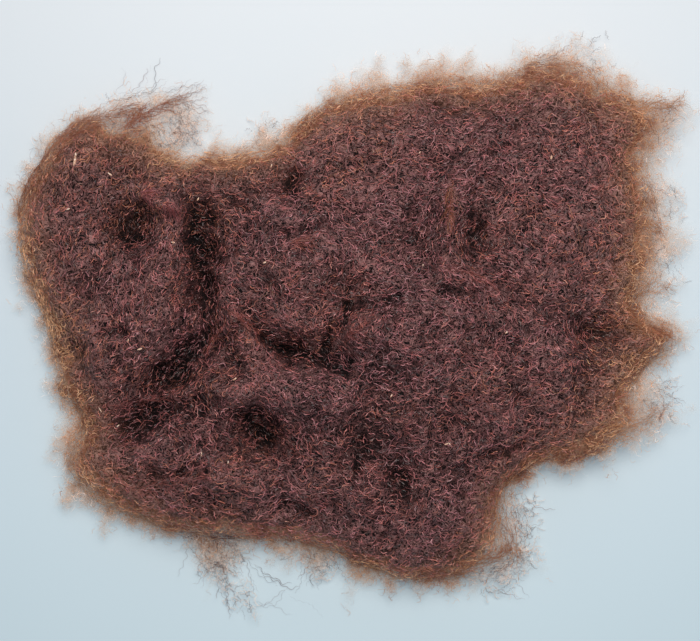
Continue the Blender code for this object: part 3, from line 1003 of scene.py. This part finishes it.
# All layers of fibre draw from this one in turn, so the order they are built in counts.
dice = np.random.default_rng(7)


def combed(x, y):
    """The way the wool is combed at each place, as an angle from +X."""
    east = np.zeros(np.shape(x))
    north = np.zeros(np.shape(x))
    for row in COMBED:
        east += near(row, x, y) * math.cos(2 * math.radians(row.turn))
        north += near(row, x, y) * math.sin(2 * math.radians(row.turn))
    for row in SWIRLS:
        across, up = (x / MM - row.x) / row.width, (y / MM - row.y) / row.length
        pull = 2.5 * np.exp(-(((np.hypot(across, up) - 0.9) / 0.45) ** 2))
        round_it = np.arctan2(across / row.width, -up / row.length)
        east += pull * np.cos(2 * round_it)
        north += pull * np.sin(2 * round_it)
    return np.arctan2(north, east) / 2


def ribbons(name, path, height, widths, hues, lights, material, upright=0.6):
    """One joined mesh of flat tapering fibres. path holds each one's points as seen from
    above, height how high they are, and upright how far the fibres are rolled."""
    paths = np.concatenate([path, height[..., None]], -1)
    count, steps, _ = paths.shape
    along = np.gradient(paths, axis=1)
    along /= np.maximum(np.linalg.norm(along, axis=2, keepdims=True), 1e-9)
    roll = dice.normal(0, upright, (count, 1))
    sideways = np.stack([-along[..., 1], along[..., 0], np.zeros((count, steps))], -1)
    facing = sideways * np.sin(roll)[..., None]
    facing[..., 2] += np.cos(roll)
    across = np.cross(facing, along)
    across /= np.maximum(np.linalg.norm(across, axis=2, keepdims=True), 1e-9)
    share = np.linspace(0, 1, steps)
    taper = 1 - 0.75 * np.abs(2 * share - 1) ** 4
    half = across * (widths[:, None] * taper / 2)[..., None]
    points = np.stack([paths - half, paths + half], 2).reshape(-1, 3)
    first = (np.arange(count)[:, None] * steps + np.arange(steps - 1)).reshape(-1) * 2
    faces = np.stack([first, first + 1, first + 3, first + 2], 1)
    mesh = bpy.data.meshes.new(name)
    mesh.vertices.add(len(points))
    mesh.vertices.foreach_set("co", points.astype(np.float32).ravel())
    mesh.loops.add(faces.size)
    mesh.loops.foreach_set("vertex_index", faces.astype(np.int32).ravel())
    mesh.polygons.add(len(faces))
    mesh.polygons.foreach_set("loop_start", np.arange(0, faces.size, 4, dtype=np.int32))
    mesh.update(calc_edges=True)
    hues = np.clip(hues, 0.02, 0.98)[:, None, None] + np.array([-0.012, 0.012])
    lights = np.clip(lights, 0.03, 0.9)[:, None, None] + 0.07 * share[None, :, None]
    place = np.stack(np.broadcast_arrays(hues, lights), -1).reshape(-1, 2)[faces.ravel()]
    mesh.uv_layers.new(name="OFBake").uv.foreach_set("vector", place.astype(np.float32).ravel())
    mesh.polygons.foreach_set("use_smooth", np.ones(len(faces), bool))
    mesh.materials.append(material)
    obj = bpy.data.objects.new(name, mesh)
    bpy.context.scene.collection.objects.link(obj)
    print(name, "fibres", count, "triangles", 2 * len(faces))
    return obj


def scattered(lie, wanted, weight):
    """Places on the tuft, more of them where weight(x, y) is larger."""
    found = []
    high = lie.low + np.array(lie.shape) * FIELD_STEP
    while sum(map(len, found)) < wanted:
        places = dice.uniform(lie.low, high, (wanted * 3, 2))
        x, y = places.T
        steep = np.sqrt(1 + (lie.at(lie.slope, x, y) ** 2).sum(-1).clip(0, 6))
        found.append(places[dice.random(len(places)) < weight(x, y) * steep / 2.6])
    return np.concatenate(found)[:wanted]


def chance(count, low, high):
    """A random number for each fibre, as a column."""
    return dice.uniform(low, high, (count, 1))


def ripple(count, steps, least, most):
    """A slow wave from -1 to 1 along each fibre, least to most radians from end to end."""
    start = chance(count, 0, FULL_TURN)
    return np.sin(start + np.linspace(0, 1, steps) * chance(count, least, most))


def walked(lie, places, heading, bend, fibre):
    """Each fibre's points over the surface, seen from above. bend is its steady turn in
    radians from one to the next."""
    count = len(places)
    step = fibre.step * MM
    place = places.copy()
    path = np.empty((count, fibre.points, 2))
    phase = dice.uniform(0, FULL_TURN, count)
    lengths = dice.uniform(fibre.least_wave, fibre.most_wave, count) * MM
    wave = FULL_TURN * step / lengths
    heading = heading.copy()
    for k in range(fibre.points):
        path[:, k] = place
        turn = heading + fibre.crimp * np.sin(phase + wave * k)
        way = np.stack([np.cos(turn), np.sin(turn)], 1)
        climb = (lie.at(lie.slope, *place.T) * way).sum(1)
        place += way * (step / np.sqrt(1 + np.clip(climb, -2.5, 2.5) ** 2))[:, None]
        heading += bend + dice.normal(0, fibre.wobble, count)
    return path


def painted_rim_light(hues):
    """Painted light: how much lighter the golden fibres of the thin rim are than the others, for
    the light through the thin wool.
    """
    return 0.25 * ease((hues - 0.5) / 0.4)


def coat(lie, layer, material):
    """Short crimped fibres that hug the top and the sides. Most are dim and some are painted
    light, as highlights where they would catch the light. Painted shade darkens them in the
    creases, and painted light lifts them on the thin rim."""
    count, fibre = layer.count, FIBRES[layer.name]
    places = scattered(lie, count, lambda x, y: ease((lie.dense_depth(x, y) + 3 * MM) / (5 * MM)))
    x, y = places.T
    heading = combed(x, y) + wander(x, y, 12 * MM, 3) * 0.6 + dice.normal(0, 0.45, count)
    heading += math.pi * dice.integers(0, 2, count)
    path = walked(lie, places, heading, dice.normal(0, 0.16, count), fibre)
    level = chance(count, layer.least * MM, layer.most * MM)
    wave = ripple(count, fibre.points, 3, 9)
    # Some cross over the creases instead of following them down, and take less of the painted
    # shade.
    crossing = dice.random(count) < 0.3
    lift = np.where(crossing[:, None], chance(count, 0.2, 0.9), 0.0)
    low, high = (lie.at(field, path[..., 0], path[..., 1]) for field in (lie.top, lie.bridge))
    height = low + (high - low) * lift + level + wave * 0.35 * MM
    height = np.maximum(height, chance(count, 0.3, 1.3) * MM)
    # Painted light: towards the thin rim the fibres turn gold and lighter, for the light through
    # the thin wool.
    rim = lie.painted_rim_glow(x, y)
    hues = 0.16 + dice.normal(0, 0.10, count) + 0.10 * wander(x, y, 26 * MM, 5) + 0.44 * rim
    hues = np.minimum(hues + lie.at(lie.hue, x, y), 0.76)
    # Painted highlights: a few fibres are made much lighter, and painted shade from the creases
    # then darkens them.
    luck = dice.random(count)
    lights = layer.light * (1 - rim) * (0.04 + 3.3 * luck**2.8) + rim * (0.42 + 0.22 * luck)
    lights += painted_rim_light(hues)
    lights *= 1 + 0.2 * wander(x, y, 5 * MM, 6) + 0.25 * wander(x, y, 2.2 * MM, 7)
    kept = np.where(crossing, 0.15, 1.0) * layer.shaded * (1 - 0.5 * rim)
    lights *= 1 - kept + kept * lie.at(lie.shade, x, y)
    widths = fibre.width * MM * (0.75 + 0.6 * luck) * dice.uniform(0.8, 1.2, count)
    return ribbons(layer.name, path, height, widths, hues, lights, material)


def under_coat(lie, name, count, material):
    """Fibres pressed flat under the tuft."""
    fibre = FIBRES[name]
    places = scattered(lie, count, lambda x, y: ease(lie.dense_depth(x, y) / (2 * MM)))
    x, y = places.T
    heading = combed(x, y) + dice.normal(0, 0.9, count)
    path = walked(lie, places, heading, dice.normal(0, 0.2, count), fibre)
    wave = ripple(count, fibre.points, 3, 9)
    height = lie.at(lie.under, path[..., 0], path[..., 1]) + (0.2 + 0.25 * wave) * MM
    height = np.maximum(height, chance(count, 0.2, 0.5) * MM)
    hues = 0.25 + dice.normal(0, 0.1, count)
    lights = 0.42 + dice.normal(0, 0.12, count)
    widths = fibre.width * MM * dice.uniform(0.7, 1.3, count)
    return ribbons(name, path, height, widths, hues, lights, material)


def rim_fleece(lie, layer, material):
    """Fibres of the thin rim. They lie at all heights between the underside and the
    top, and a few run out past the rim."""
    count, fibre = layer.count, FIBRES[layer.name]

    def weight(x, y):
        dense = lie.dense_depth(x, y)
        outer = lie.haze_depth(x, y) + layer.outside * MM
        share = ease(1.3 * outer / np.maximum(outer - dense, 1 * MM)) * ease(1 - dense / (6 * MM))
        return share * lie.haze_left(x, y)

    places = scattered(lie, count, weight)
    x, y = places.T
    inward = lie.at(lie.inward, x, y)
    out = np.arctan2(-inward[:, 1], -inward[:, 0])
    side = out + math.pi / 2 * np.sign(dice.normal(0, 1, count))
    loose = dice.random(count) < 0.35
    heading = np.where(loose, out + dice.normal(0, 0.9, count), side + dice.normal(0, 0.7, count))
    path = walked(lie, places, heading, dice.normal(0, 0.3, count), fibre)
    x, y = path[..., 0], path[..., 1]
    depth = lie.at(lie.depth, x, y)
    under, top = lie.at(lie.under, x, y), lie.at(lie.top, x, y)
    wave = ripple(count, fibre.points, 4, 12)
    height = under + (top - under) * chance(count, 0.0, 1.0) + wave * 0.4 * MM
    droop = np.minimum(depth, 0) * chance(count, 0.0, 0.35)
    height = np.maximum(height + droop, chance(count, 0.3, 1.1) * MM)
    # Painted light: fibres of the wide and thin rim turn gold and lighter, for the light through
    # the thin wool.
    rim = lie.rim_width(*places.T)
    wide = ease((rim - CORE_INSET) / (5 * MM))
    thin = ease(0.8 - depth[:, 0] / (rim + 3 * MM))
    hues = 0.34 + dice.normal(0, 0.10, count) + 0.14 * wide + 0.34 * thin
    hues += lie.at(lie.hue, *places.T)
    lights = layer.light * (0.30 + 0.25 * wide + 0.9 * dice.random(count))
    lights = lights + 0.20 * thin + painted_rim_light(hues)
    widths = fibre.width * MM * dice.uniform(0.7, 1.3, count)
    return ribbons(layer.name, path, height, widths, hues, lights, material, upright=0.9)


def cobwebs(lie, name, rows, material):
    """Patches of single crinkled fibres that curl every way. The low ones are painted pale,
    painted light for the card lighting them from behind, and the rest stay dark against it."""
    fibre = FIBRES[name]
    middles = np.repeat([(row.x, row.y) for row in rows], [row.count for row in rows], 0)
    reaches = np.repeat([row.reach for row in rows], [row.count for row in rows])
    count = len(middles)
    places = (middles + reaches[:, None] * dice.normal(0, 1, (count, 2)).clip(-1.5, 1.5)) * MM
    heading = dice.uniform(0, FULL_TURN, count)
    path = walked(lie, places, heading, dice.normal(0, 0.10, count), fibre)
    x, y = path[..., 0], path[..., 1]
    under, top = lie.at(lie.under, x, y), lie.at(lie.top, x, y)
    pale = dice.random(count) < 0.65
    level = np.where(pale[:, None], chance(count, 0.0, 0.5), chance(count, 0.5, 1.1))
    height = (under + (top - under) * level) * ease(1 + lie.at(lie.reach, x, y) / (8 * MM))
    height = np.maximum(height, chance(count, 0.3, 1.5) * MM)
    # Painted light: the low pale ones are near white, as if lit from behind by the card.
    hues = np.where(pale, 0.98, dice.uniform(0.05, 0.5, count))
    lights = np.where(pale, 0.55, dice.uniform(0.03, 0.12, count))
    widths = fibre.width * MM * np.where(pale, 2.0, 1.0) * dice.uniform(0.7, 1.3, count)
    return ribbons(name, path, height, widths, hues, lights, material)


def wisps(lie, name, rows, material):
    """Bundles of fibres that follow the arcs of a table, thinning out at their ends."""
    fibre = FIBRES[name]
    step = fibre.step * MM
    bundles = []
    for row in rows:
        free = max(row.length * MM - fibre.points * step, 0)
        start = dice.uniform(-0.15, 1, row.count) * free
        turn_rate = math.radians(row.bend) / (row.length * MM)
        turns = math.radians(row.turn) + turn_rate * start
        middle_turn = math.radians(row.turn) + turn_rate * start / 2
        narrowing = 1.1 - 0.5 * start / (free + 1 * MM)
        across = dice.normal(0, row.spread * MM, row.count) * narrowing
        x = row.x * MM + start * np.cos(middle_turn) - across * np.sin(turns)
        y = row.y * MM + start * np.sin(middle_turn) + across * np.cos(turns)
        headings = turns + dice.normal(0, fibre.wobble, row.count)
        bends = np.full(row.count, turn_rate * step)
        lifts = np.full(row.count, row.lift * MM)
        hues = row.hue + dice.normal(0, 0.06, row.count)
        lights = row.light + dice.normal(0, 0.09, row.count)
        bundles.append((np.stack([x, y], 1), headings, bends, lifts, hues, lights))
    joined = [np.concatenate(parts) for parts in zip(*bundles)]
    places, headings, bends, lifts, hues, lights = joined
    count = len(places)
    bends += dice.normal(0, 0.4 / fibre.points, count)
    path = walked(lie, places, headings, bends, fibre)
    x, y = path[..., 0], path[..., 1]
    depth = lie.at(lie.depth, x, y)
    wave = ripple(count, fibre.points, 3, 9)
    height = lie.at(lie.top, x, y) + lifts[:, None] * chance(count, 0, 1.4) + wave * 0.3 * MM
    height *= ease(1 + depth / (8 * MM))
    height = np.maximum(height, chance(count, 0.3, 1.8) * MM)
    widths = fibre.width * MM * dice.uniform(0.6, 1.3, count)
    return ribbons(name, path, height, widths, hues, lights, material, upright=0.9)


def straw_flecks(lie):
    """Slivers of dry straw, each a bent six-sided stem with pinched ends."""
    flecks = []
    for row in FLECKS:
        x, y = row.x * MM, row.y * MM
        bpy.ops.object.select_all(action="DESELECT")
        lying = (0, math.pi / 2, 0)
        bpy.ops.mesh.primitive_cylinder_add(vertices=6, radius=0.5, depth=1.0, rotation=lying)
        fleck = bpy.context.object
        alone(fleck)
        bpy.ops.object.transform_apply(rotation=True)
        bpy.ops.object.mode_set(mode="EDIT")
        for cut in (0, 0.3):
            bpy.ops.mesh.select_all(action="SELECT")
            bpy.ops.mesh.bisect(plane_co=(cut, 0, 0), plane_no=(1, 0, 0))
        bpy.ops.object.mode_set(mode="OBJECT")
        for point in fleck.data.vertices:
            pinch = 1 - 0.6 * abs(2 * point.co.x) ** 3
            point.co.y = point.co.y * pinch + 0.35 * point.co.x**2
            point.co.z = point.co.z * pinch * 0.5
        fleck.scale = (row.length * MM, row.width * MM, row.width * MM)
        fleck.rotation_euler = (0, dice.normal(0, 0.15), math.radians(row.turn))
        height = float(lie.at(lie.top, np.float64(x), np.float64(y))) + FLECK_LIFT
        fleck.location = (*really_at(x, y, height), height)
        flecks.append(fleck)
    bpy.ops.object.select_all(action="DESELECT")
    for fleck in flecks:
        fleck.select_set(True)
    bpy.context.view_layer.objects.active = flecks[0]
    bpy.ops.object.transform_apply(location=True, rotation=True, scale=True)
    bpy.ops.object.join()
    straw = bpy.context.object
    straw.name = "straw_flecks"
    straw.data.materials.append(straw_material())
    return straw


def photo_camera():
    """Looks straight down, as the photograph does."""
    bpy.ops.object.camera_add(location=(*PHOTO_MIDDLE, CAMERA_HEIGHT), rotation=(0, 0, 0))
    camera = bpy.context.object
    camera.name = "camera from above"
    camera.data.sensor_width = SENSOR_MM
    camera.data.lens = SENSOR_MM * (CAMERA_HEIGHT - FIBRE_HEIGHT) / (PHOTO_WIDTH * PIXEL)
    camera.data.clip_start = 0.01
    camera.data.dof.use_dof = False
    bpy.context.scene.camera = camera


def studio():
    """The pale card, one soft lamp and faint light all round."""
    bpy.ops.mesh.primitive_plane_add(size=4.0, location=(0, 0, -0.2 * MM))
    floor = bpy.context.object
    floor.name = "card"
    floor.data.materials.append(card_material())
    bpy.ops.object.light_add(type="AREA", location=LAMP_PLACE)
    lamp = bpy.context.object
    lamp.name = "soft window"
    lamp.data.shape = "DISK"
    lamp.data.size = LAMP_SIZE
    lamp.data.energy = LAMP_ENERGY
    lamp.data.color = linear("#fffaf4")[:3]
    lamp.rotation_euler = (-lamp.location).to_track_quat("-Z", "Y").to_euler()
    lamp.visible_camera = False
    world = bpy.data.worlds.new("soft room light")
    world.use_nodes = True
    sky = world.node_tree.nodes["Background"]
    sky.inputs["Color"].default_value = linear("#ccdbea")
    sky.inputs["Strength"].default_value = 0.40
    bpy.context.scene.world = world


bpy.context.scene.view_settings.view_transform = "Standard"
photo_camera()
studio()
lie = Lie("wool_tuft")

core = build_core(lie)
coat_wool = fibre_material("crimped brown wool", 0.15)
rim_wool = fibre_material("thin brown wool", 0.5)
web_wool = veil_material()
pieces = [
    core,
    veil(lie, "rim_web_low", 0.15, web_wool),
    veil(lie, "rim_web_top", 0.75, web_wool),
    *[coat(lie, layer, coat_wool) for layer in COATS],
    under_coat(lie, "coat_under", UNDER_COUNT, coat_wool),
    cobwebs(lie, "crinkled_hairs", COBWEBS, rim_wool),
    *[rim_fleece(lie, layer, rim_wool) for layer in RIMS],
    wisps(lie, "gathered_wisps", WISPS, rim_wool),
    wisps(lie, "stray_hairs", STRAYS, rim_wool),
    straw_flecks(lie),
]

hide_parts("wool_tuft")
for piece in pieces:
    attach(piece, "root")
